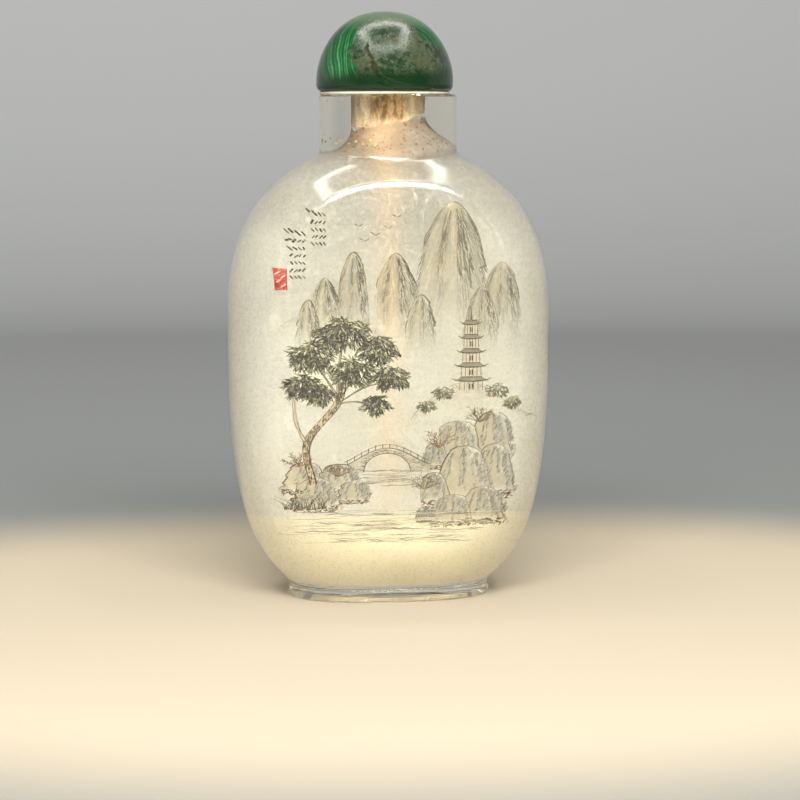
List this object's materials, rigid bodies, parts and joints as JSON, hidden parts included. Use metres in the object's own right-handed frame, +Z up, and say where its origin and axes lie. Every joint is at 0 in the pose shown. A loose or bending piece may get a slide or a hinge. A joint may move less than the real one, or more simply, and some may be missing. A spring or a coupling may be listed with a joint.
{
  "type": "snuff bottle",
  "caption": "Small flattened clear glass snuff bottle, ground white and painted inside, with a round neck, oval foot and a corked stopper under a green stone dome.",
  "frame": {"origin": "middle of the foot's underside, on the surface that the bottle stands on", "axes": "+Z up through the neck and the dome; the two flat faces look along -Y, the front, and +Y; +X is to the right seen from the front"},
  "size_m": [0.0442, 0.024, 0.08],
  "materials": {
    "glass": "polished",
    "cork": "matte",
    "bone": "satin",
    "collar": "satin",
    "malachite": "gloss"
  },
  "bodies": {
    "root": {"bottle": "glass", "cork": "cork", "spoon": "bone", "collar": "collar", "dome": "malachite"}
  },
  "joints": []
}
